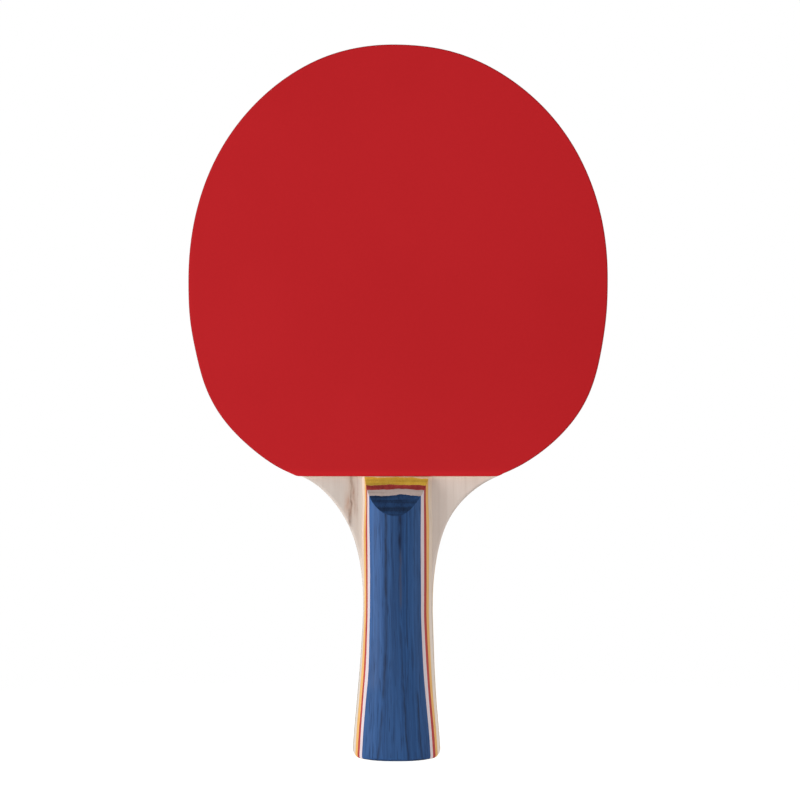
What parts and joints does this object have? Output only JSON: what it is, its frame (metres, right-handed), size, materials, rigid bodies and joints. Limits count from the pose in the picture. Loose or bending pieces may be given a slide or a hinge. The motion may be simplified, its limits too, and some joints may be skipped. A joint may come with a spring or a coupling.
{
  "type": "table tennis paddle",
  "caption": "Table tennis paddle: plywood blade with a sponge-backed rubber on each face and a flared handle of laminated coloured wood.",
  "frame": {"origin": "centre of the flat end face of the handle, on the paddle's mid-plane", "axes": "+Z along the handle towards the tip of the blade, -Y out of the red rubber's face, +Y out of the black rubber's face, +X across the blade, to the right when the red side faces the viewer"},
  "size_m": [0.152, 0.025, 0.2595],
  "materials": {
    "core_wood": "raw, sanded",
    "cross_wood": "raw, sanded",
    "face_wood": "sanded, unlacquered",
    "sponge": "matt open-cell cut edge",
    "red_rubber": "smooth, satin",
    "black_rubber": "smooth, satin",
    "pale_veneer": "sanded, satin",
    "yellow_veneer": "dyed, satin",
    "red_veneer": "dyed, satin",
    "white_veneer": "bleached, satin",
    "blue_wood": "dyed, satin"
  },
  "bodies": {
    "root": {"blade_core_ply": "core_wood", "blade_cross_ply_front": "cross_wood", "blade_cross_ply_back": "cross_wood", "blade_face_ply_front": "face_wood", "blade_face_ply_back": "face_wood", "rubber_sponge_front": "sponge", "rubber_sponge_back": "sponge", "rubber_topsheet_front_red": "red_rubber", "rubber_topsheet_back_black": "black_rubber", "scale_front_base_veneer": "pale_veneer", "scale_front_yellow_veneer": "yellow_veneer", "scale_front_red_veneer": "red_veneer", "scale_front_white_veneer": "white_veneer", "scale_front_blue_block": "blue_wood", "scale_back_base_veneer": "pale_veneer", "scale_back_yellow_veneer": "yellow_veneer", "scale_back_red_veneer": "red_veneer", "scale_back_white_veneer": "white_veneer", "scale_back_blue_block": "blue_wood"}
  },
  "joints": []
}
